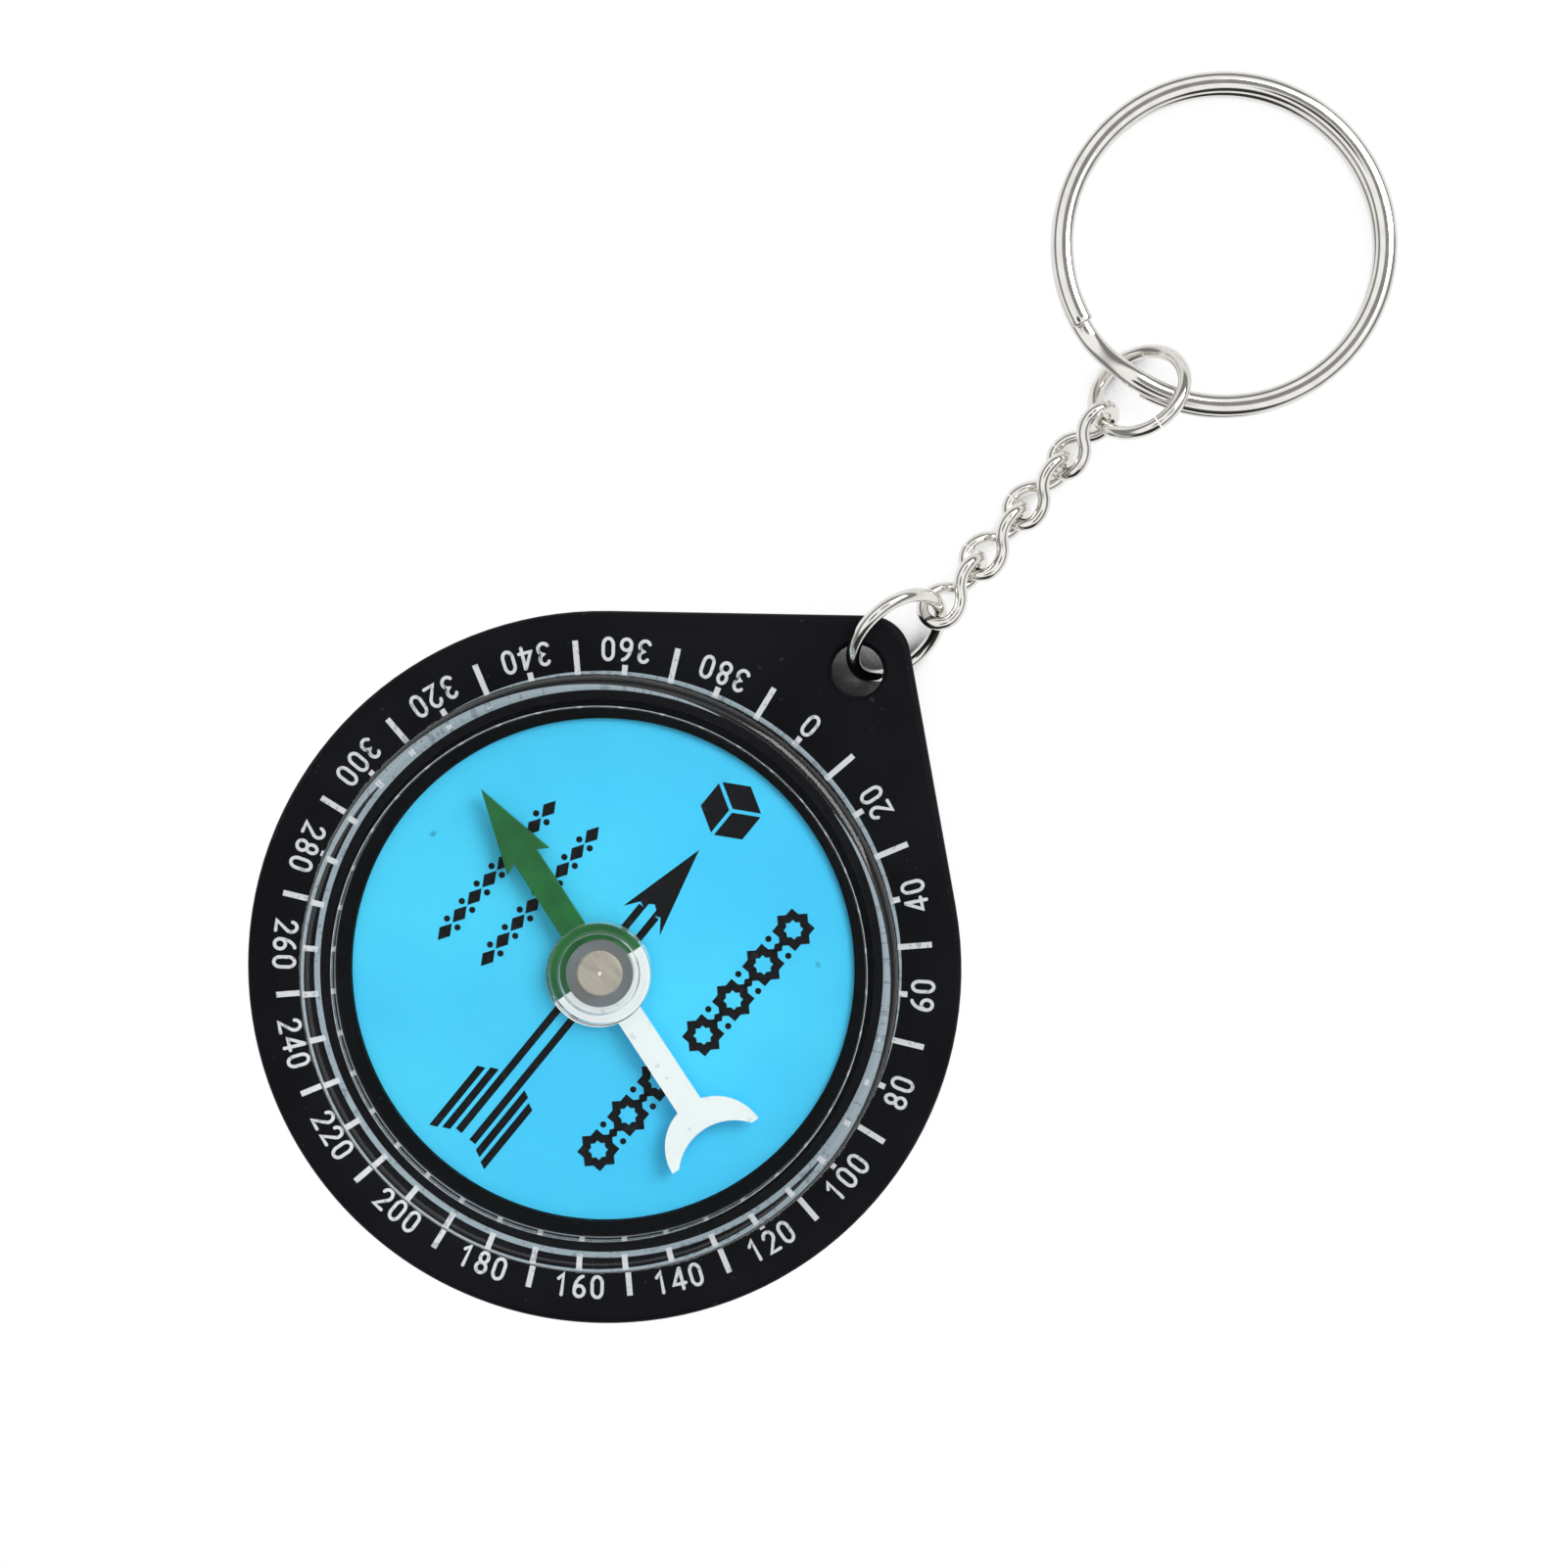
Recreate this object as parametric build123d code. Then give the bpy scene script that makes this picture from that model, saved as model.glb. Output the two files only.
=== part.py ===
from build123d import *
import math
import os

# Key-ring qibla compass, lying on its back with its chain stretched out.
# Millimetres. The origin is on the resting plane under the needle's pivot, +Z is up out of
# the dial and +Y points to the lug and the chain.

# Body plate
plate_radius = 22.0
plate_thickness = 2.4
plate_lift = 2.0  # resting plane to the plate's underside
plate_edge_round = 0.4
lug_hole_reach = 24.05  # pivot axis to the lug hole's axis
lug_hole_radius = 1.6
lug_hole_chamfer = 0.25
lug_tip_radius = 2.55
lug_tip_shift = 1.1  # centre of the tip's arc beyond the hole's axis

# Capsule: clear dome over a black base, with the printed card between them
dome_inner_radius = 16.3
dome_wall = 1.9
dome_proud = 3.8  # window's face above the plate's face
window_thickness = 1.2
dome_edge_round = 0.45
dome_seat_gap = 0.04  # film of glue under the dome's foot
base_foot_overlap = 0.3  # how far the base's rim reaches under the dome's wall
base_flange_width = 2.0
base_edge_chamfer = 0.4
base_bore_clearance = 0.05
card_margin = 0.85  # black rim that shows between the card and the dome's wall
card_thickness = 0.3
card_sink = 0.4  # card's face below the plate's face
card_clearance = 0.05
card_hole_clearance = 0.4

# Pivot pin and the needle that turns on it
pin_radius = 0.5
pin_seat_depth = 2.2
pin_point_length = 1.0
pin_point_radius = 0.08
bearing_gap = 0.05
needle_lift = 0.9  # needle's underside above the card
needle_thickness = 0.3
needle_reach = 13.3  # pivot to the arrow's point
needle_turn = 73.6  # heading at rest, counter-clockwise from the lug
head_length = 4.9
head_width = 3.06
head_sweep = 0.35  # how far the barbs trail behind the neck
shaft_width = 1.65
hub_radius = 3.07
horn_reach = 12.75  # pivot to the crescent's horn tips
horn_spread = 5.8
crescent_back = 9.7  # pivot to the crescent's outer arc
crescent_front = 11.5  # pivot to its inner arc
horn_blunt = 0.47
bush_radius = 2.05
bush_flange = 0.55
bush_flange_thickness = 0.4
bush_rise = 0.9  # bush's top above the needle
cup_radius = 1.41
cup_rise = 0.15  # cup's top above the bush
cup_chamfer = 0.12
cup_mouth_radius = 0.95
cup_recess_depth = 1.3
cup_recess_tip = 0.12
guard_clearance = 0.4  # ring boss round the bush
guard_wall = 0.7
guard_drop = 1.25  # ring boss below the window

# Chain: two jump rings and four twisted links of round wire
ring_wire = 0.85
plate_ring_outer = 7.2
end_ring_outer = 6.8
ring_joint_gap = 0.1  # butt joint of a jump ring
link_wire = 0.8
link_length = 5.85
link_width = 3.0
link_twist = 90.0
link_joint_gap = 0.08
link_hook_gap = 0.2  # free space between the wires of hooked links
ring_hook_gap = 0.2  # the same where a ring hooks into a link
split_hook_gap = 0.42  # between the end ring and the corners of the split ring's band
plate_ring_pull = 0.25  # plate ring drawn from the middle of the hole towards the tip
rest_gap = 0.1  # lowest wire above the resting plane

# Split ring of flattened wire in two turns
split_outer = 21.0
split_band = 1.3
split_coil = 0.75
split_coil_gap = 0.45
split_edge_round = 0.34
split_kink_angle = 25.0
split_kink_steps = 6
split_end_gap = 3.0  # degrees between a wire end and the kink
split_kink_place = 31.5  # degrees from the end ring to the wire's end on top
split_point_tolerance = 0.1  # of the points that the gap between the turns is measured on

# How the chain lies at rest, in degrees
plate_ring_heading = -8.0
plate_ring_lean = 55.0
plate_ring_hook = 15.0  # where the first link hangs, below the ring's far point
plate_ring_joint = 60.0  # butt joint, from the ring's right side
link_pitch = [-11.0, -4.0, 3.0, 11.0]
link_roll = [24.0, 26.0, 20.0, 9.0]  # turned about the chain's line, near bends towards level
end_ring_turn = -20.0  # from the split ring's heading to the axis that the ring leans about
end_ring_lean = 42.0
end_ring_joint = -10.0
split_heading = 11.5

# Levels and radii that follow from the sizes above
plate_top = plate_lift + plate_thickness
plate_middle = plate_lift + plate_thickness / 2
dome_outer_radius = dome_inner_radius + dome_wall
card_radius = dome_inner_radius - card_margin
dome_top = plate_top + dome_proud
window_under = dome_top - window_thickness
base_plug_radius = dome_inner_radius + base_foot_overlap
card_top = plate_top - card_sink
card_seat = card_top - card_thickness
needle_under = card_top + needle_lift
needle_top = needle_under + needle_thickness
cup_bottom = needle_under - bush_flange_thickness
cup_top = needle_top + bush_rise + cup_rise
cup_tip = cup_bottom + cup_recess_depth
pin_tip = cup_tip - bearing_gap
guard_inner_radius = bush_radius + guard_clearance
split_height = 2 * split_coil + split_coil_gap
split_middle_radius = (split_outer - split_band) / 2


def sine(angle):
    return math.sin(math.radians(angle))


def cosine(angle):
    return math.cos(math.radians(angle))


def heading(yaw, pitch=0.0):
    return Vector(-sine(yaw) * cosine(pitch), cosine(yaw) * cosine(pitch), sine(pitch))


def laid(origin, forward):
    # A local frame with +Y along forward and +X level to its right
    right = forward.cross(Vector(0, 0, 1)).normalized()
    return Plane(origin=origin, x_dir=right, z_dir=right.cross(forward))


def turned(points):
    # A solid of revolution about the pivot axis, from (radius, height) points
    return revolve(Plane.XZ * make_face(Polyline(*points, close=True)), Axis.Z)


def drum(radius, low, high):
    return Pos(0, 0, low) * extrude(Circle(radius), high - low)


def make_body_plate():
    tip = Vector(0, lug_hole_reach + lug_tip_shift)
    side = math.degrees(math.acos((plate_radius - lug_tip_radius) / tip.Y))
    normal = Vector(sine(side), cosine(side))
    mirrored = Vector(-normal.X, normal.Y)
    outline = [
        ThreePointArc(normal * plate_radius, (0, -plate_radius), mirrored * plate_radius),
        Line(mirrored * plate_radius, tip + mirrored * lug_tip_radius),
        ThreePointArc(
            tip + mirrored * lug_tip_radius,
            tip + Vector(0, lug_tip_radius),
            tip + normal * lug_tip_radius,
        ),
        Line(tip + normal * lug_tip_radius, normal * plate_radius),
    ]
    plate = Pos(0, 0, plate_lift) * extrude(make_face(outline), plate_thickness)
    rims = plate.faces().filter_by(Axis.Z).edges()
    plate = fillet(rims, plate_edge_round)
    plate -= drum(base_plug_radius + base_bore_clearance, plate_lift, plate_top)
    plate -= Pos(0, lug_hole_reach, 0) * drum(lug_hole_radius, plate_lift, plate_top)
    at_hole = [
        edge
        for edge in plate.edges().filter_by(GeomType.CIRCLE)
        if abs(edge.radius - lug_hole_radius) < 1e-6
    ]
    return chamfer(at_hole, lug_hole_chamfer)


def make_capsule_base():
    flange_radius = base_plug_radius + base_flange_width
    recess_radius = card_radius + card_clearance
    base = turned(
        [
            (0, 0),
            (flange_radius - base_edge_chamfer, 0),
            (flange_radius, base_edge_chamfer),
            (flange_radius, plate_lift),
            (base_plug_radius, plate_lift),
            (base_plug_radius, plate_top),
            (recess_radius, plate_top),
            (recess_radius, card_seat),
            (0, card_seat),
        ]
    )
    return base - drum(pin_radius, card_seat - pin_seat_depth, card_seat)


def make_dial_card():
    blank = drum(card_radius, card_seat, card_top)
    return blank - drum(pin_radius + card_hole_clearance, card_seat, card_top)


def make_capsule_dome():
    foot = plate_top + dome_seat_gap
    guard_outer_radius = guard_inner_radius + guard_wall
    guard_low = window_under - guard_drop
    dome = turned(
        [
            (0, dome_top),
            (dome_outer_radius, dome_top),
            (dome_outer_radius, foot),
            (dome_inner_radius, foot),
            (dome_inner_radius, window_under),
            (guard_outer_radius, window_under),
            (guard_outer_radius, guard_low),
            (guard_inner_radius, guard_low),
            (guard_inner_radius, window_under),
            (0, window_under),
        ]
    )
    top_rim = dome.edges().filter_by(GeomType.CIRCLE).group_by(Axis.Z)[-1]
    return fillet(top_rim, dome_edge_round)


def make_pivot_pin():
    return turned(
        [
            (0, card_seat - pin_seat_depth),
            (pin_radius, card_seat - pin_seat_depth),
            (pin_radius, pin_tip - pin_point_length),
            (pin_point_radius, pin_tip),
            (0, pin_tip),
        ]
    )


def make_needle():
    neck = needle_reach - head_length
    barb = neck - head_sweep
    arrow = make_face(
        Polyline(
            (0, needle_reach),
            (-head_width / 2, barb),
            (-shaft_width / 2, neck),
            (-shaft_width / 2, 0),
            (shaft_width / 2, 0),
            (shaft_width / 2, neck),
            (head_width / 2, barb),
            close=True,
        )
    )
    # Both arcs of the crescent run from horn tip to horn tip
    half = horn_spread / 2
    outer_half = half + horn_blunt / 2
    inner_half = half - horn_blunt / 2
    crescent = make_face(
        [
            ThreePointArc((-outer_half, -horn_reach), (0, -crescent_back), (outer_half, -horn_reach)),
            Line((outer_half, -horn_reach), (inner_half, -horn_reach)),
            ThreePointArc((inner_half, -horn_reach), (0, -crescent_front), (-inner_half, -horn_reach)),
            Line((-inner_half, -horn_reach), (-outer_half, -horn_reach)),
        ]
    )
    tail_length = (crescent_back + crescent_front) / 2
    tail = Pos(0, -tail_length / 2) * Rectangle(shaft_width, tail_length)
    blank = arrow + tail + crescent + Circle(hub_radius) - Circle(bush_radius)
    needle = extrude(blank, needle_thickness)
    return Pos(0, 0, needle_under) * Rot(Z=needle_turn) * needle


def make_needle_bush():
    bush = drum(bush_radius, needle_under, needle_top + bush_rise)
    bush += drum(bush_radius + bush_flange, cup_bottom, needle_under)
    return bush - drum(cup_radius, cup_bottom, cup_top)


def make_bearing_cup():
    return turned(
        [
            (cup_mouth_radius, cup_bottom),
            (cup_radius, cup_bottom),
            (cup_radius, cup_top - cup_chamfer),
            (cup_radius - cup_chamfer, cup_top),
            (0, cup_top),
            (0, cup_tip),
            (cup_recess_tip, cup_tip),
        ]
    )


def round_wire(path, diameter):
    section = Plane(origin=path @ 0, z_dir=path % 0) * Circle(diameter / 2)
    return sweep(section, path=path)


def make_jump_ring(outer, joint_angle):
    # In its own XY plane, with its centre at the origin and its butt joint at joint_angle
    radius = (outer - ring_wire) / 2
    cut = math.degrees(ring_joint_gap / radius)
    return round_wire(CenterArc((0, 0), radius, joint_angle + cut / 2, 360 - cut), ring_wire)


def make_chain_link():
    # The middle of the near bend is at the origin and the link lies along +Y. Each side is
    # two tangent arcs, which carry the wire from the near bend's plane to the far bend's.
    bend = (link_width - link_wire) / 2
    near = Vector(0, bend, 0)
    far = Vector(0, link_length - link_wire - bend, 0)
    forward = Vector(0, 1, 0)
    near_side = link_side(-1) * bend
    far_side = link_side(1) * bend
    middle = (near + far) / 2
    rise = (near_side + far_side) / 2
    cut = link_joint_gap / bend
    joint = near - near_side * math.cos(cut) - forward * bend * math.sin(cut)
    turns = [
        (near - near_side, middle - rise),
        (middle - rise, far - far_side),
        (far - far_side, far + far_side),
        (far + far_side, middle + rise),
        (middle + rise, near + near_side),
        (near + near_side, joint),
    ]
    arcs = []
    tangent = forward
    for start, end in turns:
        arcs.append(Edge.make_tangent_arc(start, tangent, end))
        tangent = arcs[-1] % 1
    return round_wire(Wire(arcs), link_wire)


def link_side(end):
    # Across one bend of a link, in its plane: the near end is -1 and the far end is 1
    angle = 90 + end * link_twist / 2
    return Vector(cosine(angle), 0, sine(angle))


def make_split_ring():
    # In its own XY plane, centred on the origin, with the end ring's place at -Y. The wire's
    # top end lies beside the kink, where the lower turn climbs to the upper one.
    climb = split_coil + split_coil_gap
    turn = 360 - split_kink_angle - split_end_gap
    kink_start = 270 - split_kink_place + split_end_gap

    def section(angle, height):
        middle = Vector(cosine(angle), sine(angle), 0) * split_middle_radius
        along = Vector(-sine(angle), cosine(angle), 0)
        frame = Plane(origin=middle + Vector(0, 0, height), x_dir=(0, 0, 1), z_dir=along)
        return frame * RectangleRounded(split_coil, split_band, split_edge_round)

    steps = []
    for step in range(split_kink_steps + 1):
        share = step / split_kink_steps
        height = climb * (share**2 * (3 - 2 * share) - 0.5)
        steps.append(section(kink_start + share * split_kink_angle, height))
    lower = revolve(steps[0], Axis.Z, -turn)
    upper = revolve(steps[-1], Axis.Z, turn)
    points = upper.tessellate(split_point_tolerance)[0]
    gap = min(lower.distance_to(Vertex(point)) for point in points)
    print("least gap between the split ring's turns, from", len(points), "points:", round(gap, 3))
    return lower + loft(steps) + upper


# Plate ring: its near point stands in the lug hole, centred over the plate's thickness
plate_ring_radius = (plate_ring_outer - ring_wire) / 2
half_slant = plate_thickness / 2 / sine(plate_ring_lean)
sag = plate_ring_radius - math.sqrt(plate_ring_radius**2 - half_slant**2)
plate_ring_way = heading(plate_ring_heading)
plate_ring_centre = (
    Vector(0, lug_hole_reach, plate_middle)
    + plate_ring_way * (plate_ring_radius - sag / 2 + plate_ring_pull)
)
plate_ring_frame = laid(plate_ring_centre, plate_ring_way) * Rot(Y=plate_ring_lean)
hook_way = Vector(sine(plate_ring_hook), cosine(plate_ring_hook), 0)
plate_ring_tangent = Vector(-hook_way.Y, hook_way.X, 0)

# Links: each one's near bend hooks round the wire before it
hook = (plate_ring_frame * Pos(*(hook_way * plate_ring_radius))).position
hook_reach = (ring_wire + link_wire) / 2 + ring_hook_gap
link_frames = []
for pitch, roll in zip(link_pitch, link_roll):
    way = heading(0, pitch)
    near_bend = hook - way * hook_reach
    link_frames.append(laid(near_bend, way) * Rot(Y=roll))
    hook = near_bend + way * (link_length - link_wire)
    hook_reach = link_wire + link_hook_gap

# End ring: leans with its left side on the resting plane, held by the last link
end_ring_radius = (end_ring_outer - ring_wire) / 2
end_ring_height = end_ring_radius * sine(end_ring_lean) + ring_wire / 2 + rest_gap
end_hook = hook - way * ((link_wire + ring_wire) / 2 + ring_hook_gap)
hook_drop = (end_ring_height - end_hook.Z) / (end_ring_radius * sine(end_ring_lean))
hook_turn = math.degrees(math.asin(hook_drop))
end_way = heading(split_heading + end_ring_turn)
end_side = Vector(end_way.Y, -end_way.X, 0) * cosine(end_ring_lean) + Vector(
    0, 0, sine(end_ring_lean)
)
end_ring_centre = end_hook + (end_way * cosine(hook_turn) + end_side * sine(hook_turn)) * end_ring_radius
end_ring_frame = laid(end_ring_centre, end_way) * Rot(Y=-end_ring_lean)

# Split ring: its band fills the end ring's far half, and its far side rests on the plane.
# The ring's plane cuts the band in a slanted shape, with edges along band_across and band_up.
ring_normal = end_way.cross(end_side)
band_way = heading(split_heading)
band_along = Vector(band_way.Y, -band_way.X, 0)
band_across = band_way - band_along * (ring_normal.dot(band_way) / ring_normal.dot(band_along))
band_up = Vector(0, 0, 1) - band_along * (ring_normal.Z / ring_normal.dot(band_along))
end_ring_free = end_ring_radius - ring_wire / 2 - split_hook_gap
corner_rise = band_up * (split_height / 2)
corner_lean = corner_rise.dot(band_across) / band_across.length**2
corner_room = (end_ring_free**2 - corner_rise.length**2) / band_across.length**2
band_shift = math.sqrt(corner_lean**2 + corner_room) - abs(corner_lean) - split_band / 2
band_middle = end_ring_centre + band_across * band_shift
split_drop = (split_height / 2 + rest_gap - band_middle.Z) / (2 * split_middle_radius)
split_way = heading(split_heading, math.degrees(math.asin(split_drop)))
split_frame = laid(band_middle + split_way * split_middle_radius, split_way).location

parts = {
    "body_plate": make_body_plate(),
    "capsule_base": make_capsule_base(),
    "dial_card": make_dial_card(),
    "capsule_dome": make_capsule_dome(),
    "pivot_pin": make_pivot_pin(),
    "needle": make_needle(),
    "needle_bush": make_needle_bush(),
    "bearing_cup": make_bearing_cup(),
    "plate_ring": plate_ring_frame * make_jump_ring(plate_ring_outer, plate_ring_joint),
    "end_ring": end_ring_frame * make_jump_ring(end_ring_outer, end_ring_joint),
    "split_ring": split_frame * make_split_ring(),
}
for number, frame in enumerate(link_frames, start=1):
    parts[f"chain_link_{number}"] = frame * make_chain_link()

os.makedirs("parts", exist_ok=True)
for name, solid in parts.items():
    export_step(solid, f"parts/{name}.step")
    box = solid.bounding_box()
    print(name, "volume", round(solid.volume, 3), "lowest", round(box.min.Z, 3))
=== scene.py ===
import math

import bmesh
import bpy
from mathutils import Matrix, Vector


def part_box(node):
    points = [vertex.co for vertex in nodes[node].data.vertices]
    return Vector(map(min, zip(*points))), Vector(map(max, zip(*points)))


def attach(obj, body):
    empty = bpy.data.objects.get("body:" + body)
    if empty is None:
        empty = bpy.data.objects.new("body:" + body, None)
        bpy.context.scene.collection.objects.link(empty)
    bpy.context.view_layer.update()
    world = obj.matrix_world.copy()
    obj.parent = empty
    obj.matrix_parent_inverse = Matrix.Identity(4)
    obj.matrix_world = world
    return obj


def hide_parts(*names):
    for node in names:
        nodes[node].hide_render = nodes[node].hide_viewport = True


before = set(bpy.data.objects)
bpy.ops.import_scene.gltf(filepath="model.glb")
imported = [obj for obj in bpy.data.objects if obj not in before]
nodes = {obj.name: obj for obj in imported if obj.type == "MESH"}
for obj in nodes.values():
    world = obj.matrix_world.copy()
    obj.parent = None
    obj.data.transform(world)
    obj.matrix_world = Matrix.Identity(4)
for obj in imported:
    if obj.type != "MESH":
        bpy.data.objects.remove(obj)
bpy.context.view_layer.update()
mm = 0.001
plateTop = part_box("body_plate")[1].z / mm
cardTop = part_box("dial_card")[1].z / mm
print("frame loaded, nodes:", len(nodes))


# small helpers for colours, nodes and meshes

def tint(red, green, blue):
    # a screen colour, 0 to 255, as the linear colour that the shader wants
    def straight(value):
        value /= 255
        return value / 12.92 if value <= 0.04045 else ((value + 0.055) / 1.055) ** 2.4
    return (straight(red), straight(green), straight(blue), 1.0)


def startMaterial(name):
    material = bpy.data.materials.new(name)
    material.use_nodes = True
    return material, material.node_tree, material.node_tree.nodes["Principled BSDF"]


def addGroup(tree, group, values):
    node = tree.nodes.new("ShaderNodeGroup")
    node.node_tree = group
    for name, value in values.items():
        node.inputs[name].default_value = value
    return node


def feed(tree, value, socket):
    # a link from another node, or else a fixed value
    if isinstance(value, bpy.types.NodeSocket):
        tree.links.new(value, socket)
    else:
        socket.default_value = value


def mixColour(tree, factor, first, second):
    node = tree.nodes.new("ShaderNodeMix")
    node.data_type = "RGBA"
    feed(tree, first, node.inputs[6])  # a Mix node's colours are inputs 6 and 7 and output 2
    feed(tree, second, node.inputs[7])
    tree.links.new(factor, node.inputs[0])
    return node.outputs[2]


def mixOnSurface(tree, factor, first, second):
    # the mix of two shaders becomes the material's surface
    node = tree.nodes.new("ShaderNodeMixShader")
    for value, socket in zip((factor, first, second), node.inputs):
        tree.links.new(value, socket)
    tree.links.new(node.outputs[0], tree.nodes["Material Output"].inputs["Surface"])


def combine(tree, operation, first, second):
    node = tree.nodes.new("ShaderNodeMath")
    node.operation = operation
    feed(tree, first, node.inputs[0])
    feed(tree, second, node.inputs[1])
    return node.outputs[0]


def spread(tree, value, low, high, outLow=0.0, outHigh=1.0):
    node = tree.nodes.new("ShaderNodeMapRange")
    node.interpolation_type = "SMOOTHSTEP"
    tree.links.new(value, node.inputs["Value"])
    for name, number in (("From Min", low), ("From Max", high), ("To Min", outLow), ("To Max", outHigh)):
        node.inputs[name].default_value = number
    return node.outputs["Result"]


def alongWay(tree, place, way):
    node = tree.nodes.new("ShaderNodeVectorMath")
    node.operation = "DOT_PRODUCT"
    node.inputs[1].default_value = way
    tree.links.new(place, node.inputs[0])
    return node.outputs["Value"]


def stretched(tree, place, factors):
    node = tree.nodes.new("ShaderNodeVectorMath")
    node.operation = "MULTIPLY"
    node.inputs[1].default_value = factors
    tree.links.new(place, node.inputs[0])
    return node.outputs[0]


def bumpFrom(tree, shader, height, distance, strength):
    node = tree.nodes.new("ShaderNodeBump")
    node.inputs["Distance"].default_value = distance
    node.inputs["Strength"].default_value = strength
    tree.links.new(height, node.inputs["Height"])
    tree.links.new(node.outputs["Normal"], shader.inputs["Normal"])


def dress(obj, material):
    obj.data.materials.clear()
    obj.data.materials.append(material)


def addObject(name, data):
    obj = bpy.data.objects.new(name, data)
    bpy.context.scene.collection.objects.link(obj)
    return obj


def addMesh(name, bm):
    mesh = bpy.data.meshes.new(name)
    bm.to_mesh(mesh)
    bm.free()
    return addObject(name, mesh)


def newPiece(name, bm, material, body):
    bmesh.ops.recalc_face_normals(bm, faces=bm.faces)
    piece = addMesh(name, bm)
    dress(piece, material)
    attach(piece, body)
    return piece


def smooth(piece, sharpAngle):
    piece.data.shade_smooth()
    piece.data.set_sharp_from_angle(angle=math.radians(sharpAngle))


def arc(cx, cy, rx, ry, start, end, steps=14):
    points = []
    for step in range(steps + 1):
        angle = math.radians(start + (end - start) * step / steps)
        points.append((cx + rx * math.cos(angle), cy + ry * math.sin(angle)))
    return points


def loop(cx, cy, rx, ry, steps=14):
    # a full turn, without the last point that would double the first
    return arc(cx, cy, rx, ry, 0, 360, steps)[:-1]


# node groups that several finishes share

noiseRange = (0.3, 0.7)  # where most of a noise's values lie
grainShape = {"grainDetail": 3.0, "speckDetail": 1.0, "cloudDetail": 2.0, "speckEdge": 0.06}
rubShape = {"marks": (1.0, 0.12, 1.0), "dullness": (0.2, 1.0, 0.6), "detail": 4.0, "dullEdge": (0.35, 0.75)}


def startGroup(name, inputs, outputs):
    group = bpy.data.node_groups.new(name, "ShaderNodeTree")
    for label, value in inputs.items():
        socket = group.interface.new_socket(label, in_out="INPUT", socket_type="NodeSocketFloat")
        socket.default_value = value
    for label in outputs:
        group.interface.new_socket(label, in_out="OUTPUT", socket_type="NodeSocketFloat")
    entry = group.nodes.new("NodeGroupInput")
    leave = group.nodes.new("NodeGroupOutput")
    return group, entry, leave, group.nodes.new("ShaderNodeTexCoord").outputs["Object"]


def addNoise(tree, place, scaleSocket, detail):
    node = tree.nodes.new("ShaderNodeTexNoise")
    node.inputs["Detail"].default_value = detail
    tree.links.new(place, node.inputs["Vector"])
    tree.links.new(scaleSocket, node.inputs["Scale"])
    return node.outputs["Fac"]


def makeSpeckleGroup():
    # grain height, small dust specks and slow clouds, all in object space
    inputs = {"Grain Scale": 6000.0, "Speck Scale": 2500.0, "Speck Share": 0.3, "Cloud Scale": 90.0}
    group, entry, leave, place = startGroup("speckledGrain", inputs, ("Height", "Specks", "Clouds"))
    grain = addNoise(group, place, entry.outputs["Grain Scale"], grainShape["grainDetail"])
    group.links.new(grain, leave.inputs["Height"])
    speck = addNoise(group, place, entry.outputs["Speck Scale"], grainShape["speckDetail"])
    over = combine(group, "SUBTRACT", speck, entry.outputs["Speck Share"])
    group.links.new(spread(group, over, 0.0, grainShape["speckEdge"]), leave.inputs["Specks"])
    cloud = addNoise(group, place, entry.outputs["Cloud Scale"], grainShape["cloudDetail"])
    group.links.new(spread(group, cloud, *noiseRange), leave.inputs["Clouds"])
    return group


def makeRubGroup():
    # fine rubbing marks on bare metal: long thin noise in two directions
    group, entry, leave, place = startGroup("rubbedMetal", {"Mark Scale": 900.0}, ("Marks", "Dullness"))
    markScale, detail = entry.outputs["Mark Scale"], rubShape["detail"]
    marks = addNoise(group, stretched(group, place, rubShape["marks"]), markScale, detail)
    dullness = addNoise(group, stretched(group, place, rubShape["dullness"]), markScale, detail)
    group.links.new(marks, leave.inputs["Marks"])
    group.links.new(spread(group, dullness, *rubShape["dullEdge"]), leave.inputs["Dullness"])
    return group


speckledGrain = makeSpeckleGroup()
rubbedMetal = makeRubGroup()


# finishes: lengths in metres, a bump is its depth and strength

mouldedGrain = {"Grain Scale": 5200.0, "Speck Scale": 1900.0, "Speck Share": 0.73, "Cloud Scale": 140.0}
platePlastic = {
    "colour": tint(9, 10, 15), "cloud": tint(16, 17, 22), "speck": tint(40, 40, 45),
    "roughness": (0.44, 0.58), "specular": 0.09, "bump": (0.00002, 0.35),
}
capsulePlastic = {
    "colour": tint(5, 7, 10), "cloud": tint(8, 11, 14), "speck": tint(30, 34, 38),
    "roughness": (0.4, 0.5), "specular": 0.03, "bump": (0.000012, 0.35),
}


def makeBlackPlastic(name, look):
    material, tree, shader = startMaterial(name)
    grain = addGroup(tree, speckledGrain, mouldedGrain)
    base = mixColour(tree, grain.outputs["Clouds"], look["colour"], look["cloud"])
    base = mixColour(tree, grain.outputs["Specks"], base, look["speck"])
    tree.links.new(base, shader.inputs["Base Color"])
    rough = spread(tree, grain.outputs["Height"], *noiseRange, *look["roughness"])
    tree.links.new(rough, shader.inputs["Roughness"])
    shader.inputs["Specular IOR Level"].default_value = look["specular"]
    bumpFrom(tree, shader, grain.outputs["Height"], *look["bump"])
    return material


printGrain = {"Grain Scale": 4200.0, "Speck Scale": 3300.0, "Speck Share": 0.6}
whitePrint = {
    "colour": tint(216, 219, 221), "thin": tint(178, 182, 187), "roughness": 0.55, "specular": 0.3,
    "bump": (0.000006, 0.3),
}
ringPrint = {
    "colour": tint(158, 174, 182), "thin": tint(128, 142, 150), "roughness": 0.5, "specular": 0.3,
    "bump": (0.000006, 0.3),
}


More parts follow.
